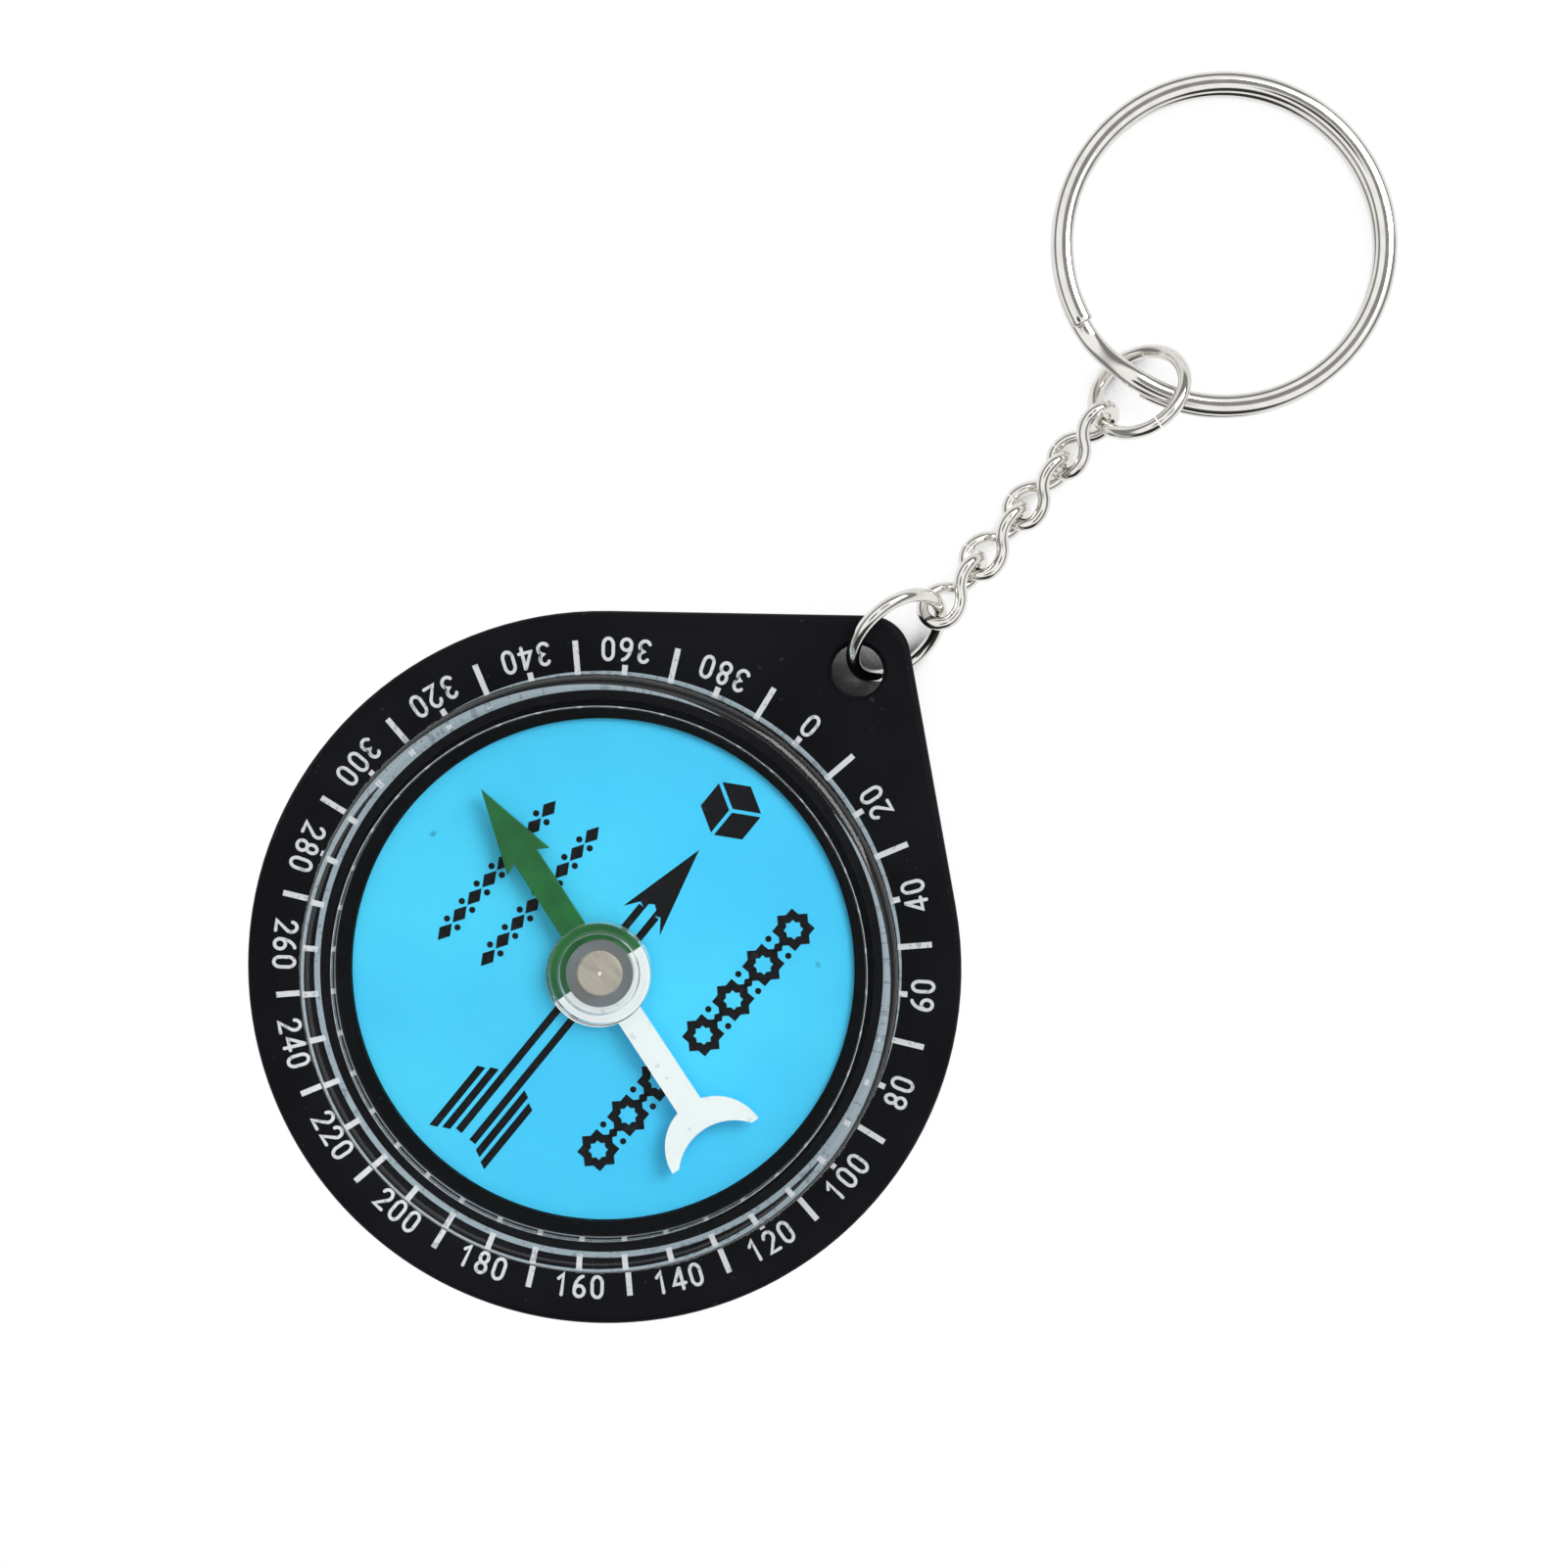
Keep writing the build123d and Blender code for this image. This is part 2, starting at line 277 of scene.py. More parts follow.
def makePrint(name, look):
    material, tree, shader = startMaterial(name)
    grain = addGroup(tree, speckledGrain, printGrain)
    base = mixColour(tree, grain.outputs["Specks"], look["colour"], look["thin"])
    tree.links.new(base, shader.inputs["Base Color"])
    shader.inputs["Roughness"].default_value = look["roughness"]
    shader.inputs["Specular IOR Level"].default_value = look["specular"]
    bumpFrom(tree, shader, grain.outputs["Height"], *look["bump"])
    return material


blueCard = {
    "colour": tint(76, 216, 255), "cloud": tint(68, 205, 252), "speck": tint(36, 86, 122),
    "roughness": 0.5, "specular": 0.2, "bump": (0.000008, 0.25),
    "grain": {"Grain Scale": 7000.0, "Speck Scale": 420.0, "Speck Share": 0.77, "Cloud Scale": 75.0},
}


def makeBlueCard():
    look = blueCard
    material, tree, shader = startMaterial("blueCard")
    grain = addGroup(tree, speckledGrain, look["grain"])
    base = mixColour(tree, grain.outputs["Clouds"], look["colour"], look["cloud"])
    base = mixColour(tree, grain.outputs["Specks"], base, look["speck"])
    tree.links.new(base, shader.inputs["Base Color"])
    shader.inputs["Roughness"].default_value = look["roughness"]
    shader.inputs["Specular IOR Level"].default_value = look["specular"]
    bumpFrom(tree, shader, grain.outputs["Height"], *look["bump"])
    return material


blackInk = {
    "colour": tint(8, 9, 13), "worn": tint(24, 26, 34), "roughness": 0.5, "specular": 0.15,
    "grain": {"Speck Scale": 2600.0, "Speck Share": 0.62},
}


def makeBlackInk():
    look = blackInk
    material, tree, shader = startMaterial("blackInk")
    grain = addGroup(tree, speckledGrain, look["grain"])
    base = mixColour(tree, grain.outputs["Specks"], look["colour"], look["worn"])
    tree.links.new(base, shader.inputs["Base Color"])
    shader.inputs["Roughness"].default_value = look["roughness"]
    shader.inputs["Specular IOR Level"].default_value = look["specular"]
    return material


needlePaint = {
    "heading": 73.6, "seam": 0.00004, "green": tint(22, 108, 48), "greenDark": tint(16, 90, 40),
    "white": tint(240, 248, 246), "whiteDull": tint(220, 229, 227),
    "roughness": 0.35, "bump": (0.000006, 0.3),
    "grain": {"Grain Scale": 5000.0, "Speck Scale": 1500.0, "Speck Share": 0.68, "Cloud Scale": 420.0},
}


def makeNeedlePaint():
    # green on the arrow's half, white on the tail's, split square across the hub
    look = needlePaint
    material, tree, shader = startMaterial("needlePaint")
    grain = addGroup(tree, speckledGrain, look["grain"])
    turn = math.radians(look["heading"])
    place = tree.nodes.new("ShaderNodeTexCoord").outputs["Object"]
    ahead = alongWay(tree, place, (-math.sin(turn), math.cos(turn), 0.0))
    half = spread(tree, ahead, -look["seam"], look["seam"])
    green = mixColour(tree, grain.outputs["Clouds"], look["green"], look["greenDark"])
    white = mixColour(tree, grain.outputs["Specks"], look["white"], look["whiteDull"])
    tree.links.new(mixColour(tree, half, white, green), shader.inputs["Base Color"])
    shader.inputs["Roughness"].default_value = look["roughness"]
    bumpFrom(tree, shader, grain.outputs["Height"], *look["bump"])
    return material


domeAcrylic = {"colour": (1.0, 1.0, 1.0, 1.0), "roughness": 0.012, "ior": 1.49, "transmission": 1.0}
bushAcrylic = {"colour": tint(160, 163, 162), "roughness": 0.12, "ior": 1.49, "transmission": 0.6}


def makeClearAcrylic(name, look):
    material, tree, shader = startMaterial(name)
    shader.inputs["Base Color"].default_value = look["colour"]
    shader.inputs["Roughness"].default_value = look["roughness"]
    shader.inputs["IOR"].default_value = look["ior"]
    shader.inputs["Transmission Weight"].default_value = look["transmission"]
    # lamps shine through the clear wall instead of being stopped by it
    clear = tree.nodes.new("ShaderNodeBsdfTransparent")
    path = tree.nodes.new("ShaderNodeLightPath")
    mixOnSurface(tree, path.outputs["Is Shadow Ray"], shader.outputs[0], clear.outputs[0])
    return material


brass = {
    "colour": tint(188, 181, 168), "dull": tint(164, 156, 144), "roughness": (0.3, 0.48), "metal": 0.2,
    "markScale": 2200.0,
    # dot: the painted highlight fades out between these two radii; then its near-white colour and the bump
    # under it
    "dot": (0.00008, 0.00016), "paintedHighlightColour": tint(250, 240, 228), "dotBump": (0.00005, 0.8),
}


def makeBrass():
    # a pale dot in the middle of the cup is a painted highlight; the same mask raises a small bump there
    look = brass
    material, tree, shader = startMaterial("cupBrass")
    rub = addGroup(tree, rubbedMetal, {"Mark Scale": look["markScale"]})
    base = mixColour(tree, rub.outputs["Dullness"], look["colour"], look["dull"])
    place = tree.nodes.new("ShaderNodeTexCoord").outputs["Object"]
    radius = tree.nodes.new("ShaderNodeVectorMath")
    radius.operation = "LENGTH"
    tree.links.new(stretched(tree, place, (1.0, 1.0, 0.0)), radius.inputs[0])
    dot = spread(tree, radius.outputs["Value"], *look["dot"], 1.0, 0.0)
    # painted highlight: the base colour turns near white in the dot
    tree.links.new(mixColour(tree, dot, base, look["paintedHighlightColour"]), shader.inputs["Base Color"])
    rough = spread(tree, rub.outputs["Marks"], *noiseRange, *look["roughness"])
    tree.links.new(rough, shader.inputs["Roughness"])
    shader.inputs["Metallic"].default_value = look["metal"]
    bumpFrom(tree, shader, dot, *look["dotBump"])
    return material


nickel = {
    "colour": tint(230, 228, 223), "dull": tint(220, 217, 212), "roughness": (0.05, 0.11), "metal": 1.0,
    "markScale": 1300.0, "markRange": (0.35, 0.7), "bump": (0.000002, 0.15),
}


def makeNickel():
    look = nickel
    material, tree, shader = startMaterial("nickelPlate")
    rub = addGroup(tree, rubbedMetal, {"Mark Scale": look["markScale"]})
    base = mixColour(tree, rub.outputs["Dullness"], look["colour"], look["dull"])
    tree.links.new(base, shader.inputs["Base Color"])
    rough = spread(tree, rub.outputs["Marks"], *look["markRange"], *look["roughness"])
    tree.links.new(rough, shader.inputs["Roughness"])
    shader.inputs["Metallic"].default_value = look["metal"]
    bumpFrom(tree, shader, rub.outputs["Marks"], *look["bump"])
    return material


plateLook = makeBlackPlastic("platePlastic", platePlastic)
capsuleLook = makeBlackPlastic("capsulePlastic", capsulePlastic)
printLook = makePrint("whitePrint", whitePrint)
ringLook = makePrint("ringPrint", ringPrint)
cardLook = makeBlueCard()
inkLook = makeBlackInk()
paintLook = makeNeedlePaint()
domeLook = makeClearAcrylic("domeAcrylic", domeAcrylic)
bushLook = makeClearAcrylic("bushAcrylic", bushAcrylic)
brassLook = makeBrass()
nickelLook = makeNickel()
print("finishes made:", len(bpy.data.materials))

dress(nodes["body_plate"], plateLook)
dress(nodes["capsule_base"], capsuleLook)
dress(nodes["dial_card"], cardLook)
dress(nodes["needle"], paintLook)
dress(nodes["needle_bush"], bushLook)
dress(nodes["bearing_cup"], brassLook)
for name in nodes:
    if name.startswith("chain_link") or name.endswith("_ring") or name == "pivot_pin":
        dress(nodes[name], nickelLook)


# clear dome, turned smoothly from its profile, sizes in millimetres; its foot is bonded to the plate

dome = {
    "outer": 18.2, "inner": 16.3, "top": 8.2, "window": 7.0, "edge": 0.8, "corner": 0.12, "bond": 0.01,
    "bossOuter": 3.15, "bossInner": 2.45, "bossLow": 5.75, "bossRound": 0.1, "hold": 0.04,
    "turns": 224, "edgeSteps": 12, "cornerSteps": 6, "bossSteps": 4, "sharpAngle": 32,
}


def domeProfile():
    # hold: an extra line beside each rounding keeps the flat faces flat in smooth shading
    outer, inner, top, window = dome["outer"], dome["inner"], dome["top"], dome["window"]
    edge, corner, hold = dome["edge"], dome["corner"], dome["hold"]
    bossOuter, bossInner, bossRound = dome["bossOuter"], dome["bossInner"], dome["bossRound"]
    bossStart = dome["bossLow"] + bossRound
    foot = plateTop - dome["bond"]
    profile = [(0.0, top), (outer - edge - hold, top)]
    profile += arc(outer - edge, top - edge, edge, edge, 90, 0, dome["edgeSteps"])
    profile += [(outer, top - edge - hold), (outer, foot), (inner, foot), (inner, window - corner - hold)]
    profile += arc(inner - corner, window - corner, corner, corner, 0, 90, dome["cornerSteps"])
    profile += [(inner - corner - hold, window), (bossOuter, window), (bossOuter, bossStart + hold)]
    profile += arc(bossOuter - bossRound, bossStart, bossRound, bossRound, 0, -90, dome["bossSteps"])
    profile += arc(bossInner + bossRound, bossStart, bossRound, bossRound, -90, -180, dome["bossSteps"])
    profile += [(bossInner, bossStart + hold), (bossInner, window), (0.0, window)]
    return profile


def makeDome():
    turns = dome["turns"]
    bm = bmesh.new()
    rings = []
    for radius, height in domeProfile():
        ring = []
        for step in range(1 if radius == 0 else turns):
            angle = 2 * math.pi * step / turns
            point = (radius * mm * math.cos(angle), radius * mm * math.sin(angle), height * mm)
            ring.append(bm.verts.new(point))
        rings.append(ring)
    for first, second in zip(rings, rings[1:]):
        for step in range(turns):
            after = (step + 1) % turns
            corners = [first[step % len(first)], first[after % len(first)],
                       second[after % len(second)], second[step % len(second)]]
            bm.faces.new(list(dict.fromkeys(corners)))
    piece = newPiece("clearDome", bm, domeLook, "compass")
    smooth(piece, dome["sharpAngle"])
    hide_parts("capsule_dome")


makeDome()
print("dome turned")


# split ring: two turns of crowned wire, sizes in millimetres and degrees

splitRing = {
    "outer": 21.0, "band": 1.3, "coil": 0.75, "gap": 0.45, "heading": 11.5, "pitch": -4.19,
    "kink": 25.0, "endGap": 3.0, "endPlace": 31.5, "step": 2.5, "fullness": (2.3, 2.0), "sides": 44,
    "tip": 0.12, "tipSize": 0.7, "shoulderSize": 0.92, "sharpAngle": 50,
}


def splitSection(size):
    # closed outline of the wire, outward and up
    wide, tall = splitRing["band"] / 2, splitRing["coil"] / 2
    fullOut, fullUp = splitRing["fullness"]
    points = []
    for side in range(splitRing["sides"]):
        angle = 2 * math.pi * side / splitRing["sides"]
        out, up = math.cos(angle), math.sin(angle)
        x = wide * math.copysign(abs(out) ** (2 / fullOut), out)
        y = tall * math.copysign(abs(up) ** (2 / fullUp), up)
        points.append((x * size, y * size))
    return points


def makeSplitRing():
    low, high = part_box("split_ring")
    kink, sides = splitRing["kink"], splitRing["sides"]
    middle = (splitRing["outer"] - splitRing["band"]) / 2
    climb = splitRing["coil"] + splitRing["gap"]
    turn = 360 - kink - splitRing["endGap"]
    kinkStart = 270 - splitRing["endPlace"] + splitRing["endGap"]
    start, end = kinkStart - turn, kinkStart + kink + turn
    tip = math.degrees(splitRing["tip"] / middle)
    span = end - start - 2 * tip
    count = round(span / splitRing["step"])
    # the wire's angle and the size of its section, a little smaller at both ends
    stations = [(start, splitRing["tipSize"]), (start + tip / 3, splitRing["shoulderSize"])]
    stations += [(start + tip + span * step / count, 1.0) for step in range(count + 1)]
    stations += [(end - tip / 3, splitRing["shoulderSize"]), (end, splitRing["tipSize"])]
    place = Matrix.Translation((low + high) / 2)
    place = place @ Matrix.Rotation(math.radians(splitRing["heading"]), 4, "Z")
    place = place @ Matrix.Rotation(math.radians(splitRing["pitch"]), 4, "X")
    bm = bmesh.new()
    rows = []
    for angle, size in stations:
        share = min(max((angle - kinkStart) / kink, 0.0), 1.0)
        height = climb * (share ** 2 * (3 - 2 * share) - 0.5)
        turned = math.radians(angle)
        row = []
        for out, up in splitSection(size):
            radius = middle + out
            point = Vector((radius * math.cos(turned), radius * math.sin(turned), height + up)) * mm
            row.append(bm.verts.new(place @ point))
        rows.append(row)
    for first, second in zip(rows, rows[1:]):
        for side in range(sides):
            after = (side + 1) % sides
            bm.faces.new((first[side], first[after], second[after], second[side]))
    bm.faces.new(rows[0])
    bm.faces.new(rows[-1])
    piece = newPiece("splitRingWire", bm, nickelLook, "split_ring")
    smooth(piece, splitRing["sharpAngle"])
    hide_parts("split_ring")


makeSplitRing()
print("split ring wound")


# printed marks: thin raised ink on the plate and the card, drawn in millimetres

printing = {"sunk": 0.4, "capSteps": 5, "mitre": 0.6, "shortest": 1e-9}  # sunk: share below the surface


def addShape(bm, points, lift=0.0):
    # one flat outline, any simple polygon; lift keeps crossing shapes apart
    corners = [bm.verts.new((x * mm, y * mm, lift * mm)) for x, y in points]
    bm.faces.new(corners)


def addBand(bm, left, right, lift=0.0):
    # a closed flat band between two rings of points
    rows = []
    for near, far in zip(left, right):
        rows.append((bm.verts.new((near[0] * mm, near[1] * mm, lift * mm)),
                     bm.verts.new((far[0] * mm, far[1] * mm, lift * mm))))
    for (near, far), (nearNext, farNext) in zip(rows, rows[1:] + rows[:1]):
        bm.faces.new((near, far, farNext, nearNext))


def direction(start, end):
    way = end - start
    return way.normalized() if way.length > printing["shortest"] else None


def addStroke(bm, points, width, closed, lift):
    # a line of even width with round ends
    line = [Vector(point) for point in points]
    count = len(line)
    left, right = [], []
    for index, point in enumerate(line):
        before = line[index - 1] if closed or index else point
        after = line[(index + 1) % count] if closed or index < count - 1 else point
        first, second = direction(before, point), direction(point, after)
        first, second = first or second, second or first
        way = (first + second).normalized()
        normal = Vector((-way.y, way.x))
        square = Vector((-first.y, first.x))
        reach = width / 2 / max(normal.dot(square), printing["mitre"])
        left.append(point + normal * reach)
        right.append(point - normal * reach)
    if closed:
        addBand(bm, left, right, lift)
        return
    outline = list(right)
    for end, side in ((line[-1], right[-1]), (line[0], left[0])):
        arm = side - end
        for step in range(1, printing["capSteps"]):
            angle = math.pi * step / printing["capSteps"]
            turned = Vector((arm.x * math.cos(angle) - arm.y * math.sin(angle),
                             arm.x * math.sin(angle) + arm.y * math.cos(angle)))
            outline.append(end + turned)
        if end is line[-1]:
            outline += list(reversed(left))
    addShape(bm, [tuple(point) for point in outline], lift)


def printPiece(name, bm, level, thickness, material):
    # flat outlines become closed thin solids that stand on their surface
    faces = list(bm.faces)
    bmesh.ops.recalc_face_normals(bm, faces=faces)
    for face in faces:
        if face.normal.z < 0:
            face.normal_flip()
    raised = bmesh.ops.extrude_face_region(bm, geom=faces)
    for item in raised["geom"]:
        if isinstance(item, bmesh.types.BMVert):
            item.co.z += thickness * mm
    for vert in bm.verts:
        vert.co.z += (level - thickness * printing["sunk"]) * mm
    newPiece(name, bm, material, "compass")


# the figures that the scale needs, one unit high: each line's points, and whether it is closed
glyphs = {
    "width": 0.56,
    "0": [(arc(.28, .66, .2, .26, 0, 180) + arc(.28, .34, .2, .26, 180, 360), True)],
    "1": [([(.13, .72), (.31, .92), (.31, .08)], False)],
    "2": [(arc(.28, .69, .2, .23, 172, -38) + [(.08, .08), (.49, .08)], False)],
    "3": [(arc(.27, .715, .18, .205, 152, -80) + arc(.26, .295, .21, .215, 82, -152), False)],
    "4": [([(.4, .08), (.4, .92)], False), ([(.38, .92), (.05, .3), (.53, .3)], False)],
    "6": [(loop(.28, .3, .2, .22, 22), True), (arc(.48, .32, .4, .6, 102, 176, 10), False)],
    "8": [(loop(.28, .71, .165, .21, 20), True), (loop(.28, .29, .2, .21, 20), True)],
}
scale = {
    "units": 400, "step": 10, "labelStep": 20, "rings": ((17.22, 17.58), (18.2, 18.34)), "ringSteps": 240,
    "longOuter": 20.25, "shortOuter": 18.75, "tickWidth": 0.35, "digitFoot": 20.45, "digitHeight": 1.54,
    "digitPitch": 1.1, "stroke": 0.21, "ink": 0.02, "lap": 0.003,
}


def around(radius, angle, side):
    # a point on the dial: angle clockwise from the lug, side to the reader's right
    turn = math.radians(angle)
    return (radius * math.sin(turn) - side * math.cos(turn), radius * math.cos(turn) + side * math.sin(turn))


def addLabel(bm, label, angle):
    foot, tall = scale["digitFoot"], scale["digitHeight"]
    middle = foot - tall / 2
    for place, digit in enumerate(label):
        shift = (place - (len(label) - 1) / 2) * scale["digitPitch"]
        turned = angle - math.degrees(shift / middle)
        for layer, (points, closed) in enumerate(glyphs[digit]):
            line = [around(foot - y * tall, turned, (x - glyphs["width"] / 2) * tall) for x, y in points]
            addStroke(bm, line, scale["stroke"], closed, layer * scale["lap"])


def makeScale():
    half = scale["tickWidth"] / 2
    inside = scale["rings"][0][1] - half
    bm = bmesh.new()
    for value in range(0, scale["units"], scale["step"]):
        angle = value * 360 / scale["units"]
        labelled = value % scale["labelStep"] == 0
        outer = scale["shortOuter"] if labelled else scale["longOuter"]
        addShape(bm, [around(inside, angle, -half), around(outer, angle, -half),
                      around(outer, angle, half), around(inside, angle, half)], scale["lap"])
        if labelled:
            addLabel(bm, str(value), angle)
    printPiece("scalePrint", bm, plateTop, scale["ink"], printLook)


def makeScaleRings():
    # the two circle lines that the ticks stand on, under the dome's wall and round its foot
    steps = scale["ringSteps"]
    bm = bmesh.new()
    for low, high in scale["rings"]:
        addBand(bm, loop(0, 0, low, low, steps), loop(0, 0, high, high, steps))
    printPiece("scaleRings", bm, plateTop, scale["ink"] - scale["lap"], ringLook)


makeScale()
makeScaleRings()
print("scale printed")


cardInk = 0.015
dialArt = {
    "turn": 1.2, "shift": -0.06, "line": 0.47, "shaftSide": 0.54, "shaft": (-13.4, 4.6),
    "fletches": ((1.25, -13.65, -8.85), (1.95, -14.05, -9.3)), "cut": 0.22,  # each one's offset and two ends
    "tip": 9.5, "barb": (1.45, 3.85), "notch": (0.79, 4.75),
    "slotSide": 0.3, "slotLevels": (4.55, 4.95, 5.15),
    "cubeMiddle": 12.6, "cubeRadius": 1.86, "cubeGap": 0.13, "cubeShare": 0.95,
}


def makeDialArt():
    bm = bmesh.new()
    spin = Matrix.Rotation(math.radians(dialArt["turn"]), 2)

    def addLaid(points):
        addShape(bm, [tuple(spin @ Vector((x + dialArt["shift"], y))) for x, y in points])

    half, cut = dialArt["line"] / 2, dialArt["cut"]
    (barbSide, barbEnd), (notchSide, notchEnd) = dialArt["barb"], dialArt["notch"]
    slotFoot, slotShoulder, slotTop = dialArt["slotLevels"]
    for side in (-1, 1):
        x = side * dialArt["shaftSide"]
        low, high = dialArt["shaft"]
        addLaid([(x - half, low), (x + half, low), (x + half, high), (x - half, high)])
        for offset, low, high in dialArt["fletches"]:
            near, far = side * (offset - half), side * (offset + half)
            addLaid([(near, low), (far, low - cut), (far, high - cut), (near, high)])
        # one half of the arrow head, with its barb and the slot between the shaft lines
        slot = side * dialArt["slotSide"]
        addLaid([(0, dialArt["tip"]), (side * barbSide, barbEnd), (side * notchSide, notchEnd),
                 (slot, slotFoot), (slot, slotShoulder), (0, slotTop)])
    # three faces of the cube, seen corner on, each drawn in a little and pushed outward
    middle, radius = dialArt["cubeMiddle"], dialArt["cubeRadius"]
    gap, share = dialArt["cubeGap"], dialArt["cubeShare"]
    for first in (30, 150, 270):
        corners = [(0.0, 0.0)] + arc(0, 0, radius, radius, first, first + 120, 2)
        outward = math.radians(first + 60)
        pushX, pushY = gap * math.cos(outward), gap * math.sin(outward)
        addLaid([(x * share + pushX, middle + y * share + pushY) for x, y in corners])
    printPiece("dialArrow", bm, cardTop, cardInk, inkLook)


ornament = {
    "rows": ((-5.85, 5.9, -5.3), (-8.9, 5.4, -5.6)), "pitch": 1.42, "lozenge": (0.42, 0.68), "dot": 0.2,
    "stars": ((7.3, 9.5, 4), (7.0, -3.0, 3)), "starPitch": 2.85, "starPoints": 8, "star": (1.32, 0.765),
    "starHole": 0.46, "spacer": (0.3, 0.44), "sideDot": 0.8,
}


def makeOrnament():
    # plain traditional border work: rows of lozenges and dots, and columns of eight-pointed stars
    bm = bmesh.new()
    pitch, starPitch, points = ornament["pitch"], ornament["starPitch"], ornament["starPoints"]
    outer, share = ornament["star"]

    def addLozenge(x, y, size):
        wide, tall = size
        addShape(bm, [(x + wide, y), (x, y + tall), (x - wide, y), (x, y - tall)])

    def addDots(x, y, reach):
        for side in (-1, 1):
            addShape(bm, loop(x + side * reach, y, ornament["dot"], ornament["dot"]))

    def addStar(x, y):
        edge, hole = [], []
        for turn in range(2 * points):
            angle = math.radians(turn * 180 / points)
            radius = outer if turn % 2 == 0 else outer * share
            for ring, size in ((edge, radius), (hole, radius * ornament["starHole"])):
                ring.append((x + size * math.cos(angle), y + size * math.sin(angle)))
        addBand(bm, hole, edge)

    for x, start, end in ornament["rows"]:
        count = int((start - end) / pitch) + 1
        for step in range(count):
            y = start - step * pitch
            addLozenge(x, y, ornament["lozenge"])
            if step < count - 1:
                addDots(x, y - pitch / 2, ornament["lozenge"][0])
    for x, start, count in ornament["stars"]:
        for step in range(count):
            y = start - step * starPitch
            addStar(x, y)
            if step < count - 1:
                addLozenge(x, y - starPitch / 2, ornament["spacer"])
                addDots(x, y - starPitch / 2, ornament["sideDot"])
    printPiece("dialOrnament", bm, cardTop, cardInk, inkLook)


makeDialArt()
makeOrnament()
print("card printed")


# floor, light and camera, in metres

studio = {
    # the floor's second colour, a dark grey, is a painted shade laid on the floor under and close to the
    # object
    "floor": tint(255, 255, 255), "paintedShade": tint(90, 90, 93), "floorRoughness": 0.9, "floorRadius": 2.5,
    "floorSides": 96, "floorDrop": 0.00001, "shadowReach": 0.01, "shadow": (0.2, 0.54),
    "sky": ((0.0, 0.9), (0.2, 0.9), (0.3, 0.25), (0.62, 0.25), (0.74, 1.1)),
    "dark": (
        {"towards": (0.0, -0.156, 0.988), "edge": (0.974, 0.9925), "level": 0.06},  # the lens and its stand
        {"towards": (0.0, 0.29, 0.957), "edge": (0.978, 0.993), "level": 0.3},  # the stand's arm
        {"towards": (0.60, -0.68, 0.42), "edge": (0.8, 0.92), "level": 0.04},  # a black card by the object
    ),
    "lamps": (
        {"name": "keySoftbox", "at": (0.06, 0.30, 0.30), "aim": (0.0, 0.02, 0.0), "size": 0.22, "power": 0.8},
    ),
}


def makeFloor():
    bm = bmesh.new()
    sides, radius = studio["floorSides"], studio["floorRadius"]
    bmesh.ops.create_circle(bm, cap_ends=True, segments=sides, radius=radius)
    floor = addMesh("studioFloor", bm)
    floor.location.z = -studio["floorDrop"]
    material, tree, shader = startMaterial("paleFloor")
    shader.inputs["Roughness"].default_value = studio["floorRoughness"]
    shader.inputs["Specular IOR Level"].default_value = 0.0
    # the open floor shows as plain white; under and close to the object, where occlusion is found, the
    # floor's colour is darkened to a painted shade and the glow is held back, so its shadow stays
    path = tree.nodes.new("ShaderNodeLightPath").outputs
    seen = combine(tree, "MAXIMUM", path["Is Camera Ray"], path["Is Glossy Ray"])
    seen = combine(tree, "MAXIMUM", seen, path["Is Transmission Ray"])
    near = tree.nodes.new("ShaderNodeAmbientOcclusion")
    near.inputs["Distance"].default_value = studio["shadowReach"]
    outsidePaintedShade = spread(tree, near.outputs["AO"], *studio["shadow"])
    # painted shade: the floor's colour turns dark grey where the occlusion is high
    tree.links.new(mixColour(tree, outsidePaintedShade, studio["paintedShade"], studio["floor"]), shader.inputs["Base Color"])
    glow = tree.nodes.new("ShaderNodeEmission")
    mixOnSurface(tree, combine(tree, "MULTIPLY", seen, outsidePaintedShade), shader.outputs[0], glow.outputs[0])
    dress(floor, material)


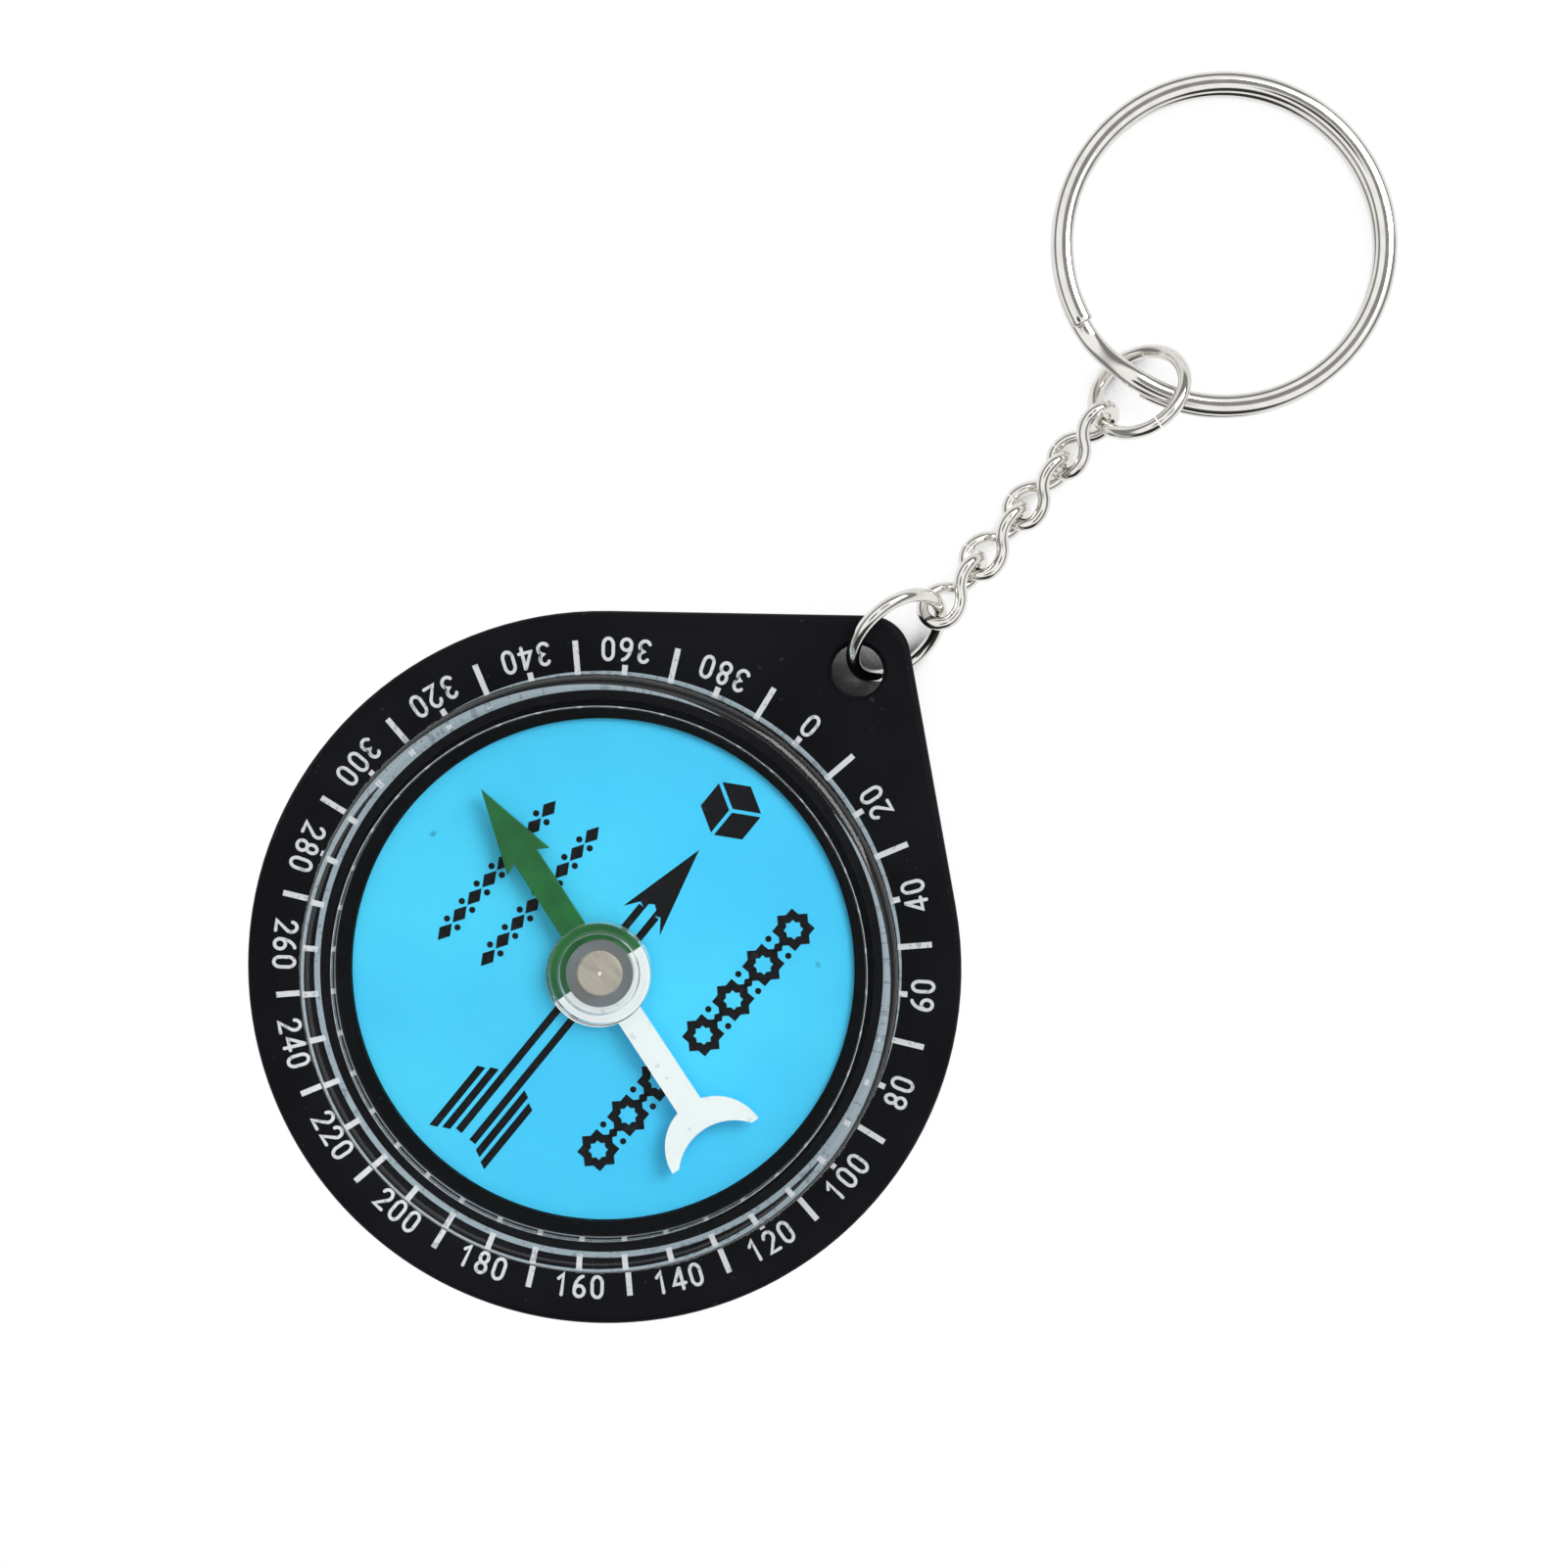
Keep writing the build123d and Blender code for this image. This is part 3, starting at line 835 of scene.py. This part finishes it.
def makeSky():
    # a light tent: pale at the horizon, dimmer at the sides, bright above, with its dark places
    world = bpy.data.worlds.new("lightTent")
    bpy.context.scene.world = world
    world.use_nodes = True
    tree = world.node_tree
    way = tree.nodes.new("ShaderNodeTexCoord").outputs["Generated"]
    ramp = tree.nodes.new("ShaderNodeValToRGB")
    tree.links.new(alongWay(tree, way, (0.0, 0.0, 1.0)), ramp.inputs["Fac"])
    stops = ramp.color_ramp.elements
    while len(stops) < len(studio["sky"]):
        stops.new(0.5)
    for stop, (place, level) in zip(stops, studio["sky"]):
        stop.position = place
        stop.color = (level, level, level, 1.0)
    colour = ramp.outputs["Color"]
    for patch in studio["dark"]:
        level = patch["level"]
        inside = spread(tree, alongWay(tree, way, patch["towards"]), *patch["edge"])
        colour = mixColour(tree, inside, colour, (level, level, level, 1.0))
    tree.links.new(colour, tree.nodes["Background"].inputs["Color"])
    tree.nodes["Background"].inputs["Strength"].default_value = 1.0


def makeLamps():
    for lamp in studio["lamps"]:
        light = bpy.data.lights.new(lamp["name"], "AREA")
        light.shape = "SQUARE"
        light.size = lamp["size"]
        light.energy = lamp["power"]
        obj = addObject(lamp["name"], light)
        way = Vector(lamp["aim"]) - Vector(lamp["at"])
        obj.rotation_euler = way.to_track_quat("-Z", "Y").to_euler()
        obj.location = lamp["at"]


view = {
    "at": (0.0000044, 0.0288869, 0.2), "aim": (0.0010809, 0.0158369, 0.003), "up": (-0.6478, 0.7618, 0.0),
    "focus": 3278.7, "pixels": 1601, "sensor": 36.0, "near": 0.005,
}


def makeCamera():
    data = bpy.data.cameras.new("viewCamera")
    data.sensor_width = view["sensor"]
    data.sensor_fit = "HORIZONTAL"
    data.lens = view["focus"] / view["pixels"] * view["sensor"]
    data.clip_start = view["near"]
    camera = addObject("viewCamera", data)
    back = (Vector(view["at"]) - Vector(view["aim"])).normalized()
    right = Vector(view["up"]).cross(back).normalized()
    up = back.cross(right)
    turn = Matrix((right, up, back)).transposed()
    camera.matrix_world = Matrix.Translation(Vector(view["at"])) @ turn.to_4x4()
    bpy.context.scene.camera = camera


makeFloor()
makeSky()
makeLamps()
makeCamera()
bpy.context.scene.view_settings.view_transform = "Standard"
print("studio set")
